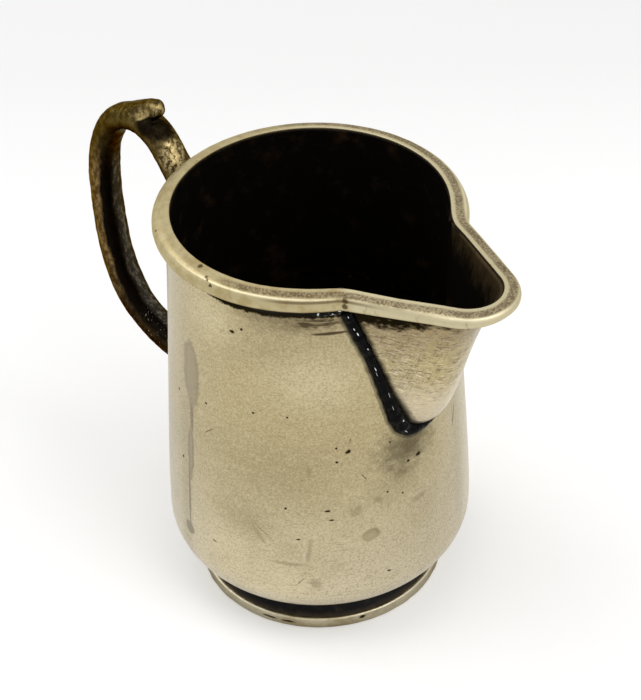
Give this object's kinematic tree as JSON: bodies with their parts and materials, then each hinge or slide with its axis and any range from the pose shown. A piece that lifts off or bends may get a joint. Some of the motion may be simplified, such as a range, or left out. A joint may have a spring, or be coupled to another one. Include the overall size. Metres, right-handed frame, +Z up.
{
  "type": "milk jug",
  "caption": "Small tapered metal milk jug on a ring foot, with a wired mouth, a let-in pouring spout, a soldered seam and a cast scroll handle with a thumb spur.",
  "frame": {"origin": "middle of the whole outline seen from above, on the plane the foot stands on", "axes": "+Z up, +X towards the tip of the spout with the handle on -X, +Y to the left of someone looking along +X"},
  "size_m": [0.1278, 0.0708, 0.1062],
  "materials": {
    "plated_sheet": "satin",
    "worn_wire": "satin",
    "cast_metal": "satin",
    "dark_solder": "gloss",
    "dull_solder": "matte"
  },
  "bodies": {
    "root": {"body_shell": "plated_sheet", "spout": "plated_sheet", "foot_collar": "plated_sheet", "rim_wire": "worn_wire", "spout_lip_wire": "worn_wire", "foot_wire": "worn_wire", "handle": "cast_metal", "spout_seam_solder": "dark_solder", "rim_solder": "dull_solder", "foot_solder": "dull_solder", "handle_upper_solder": "dull_solder", "handle_lower_solder": "dull_solder"}
  },
  "joints": []
}
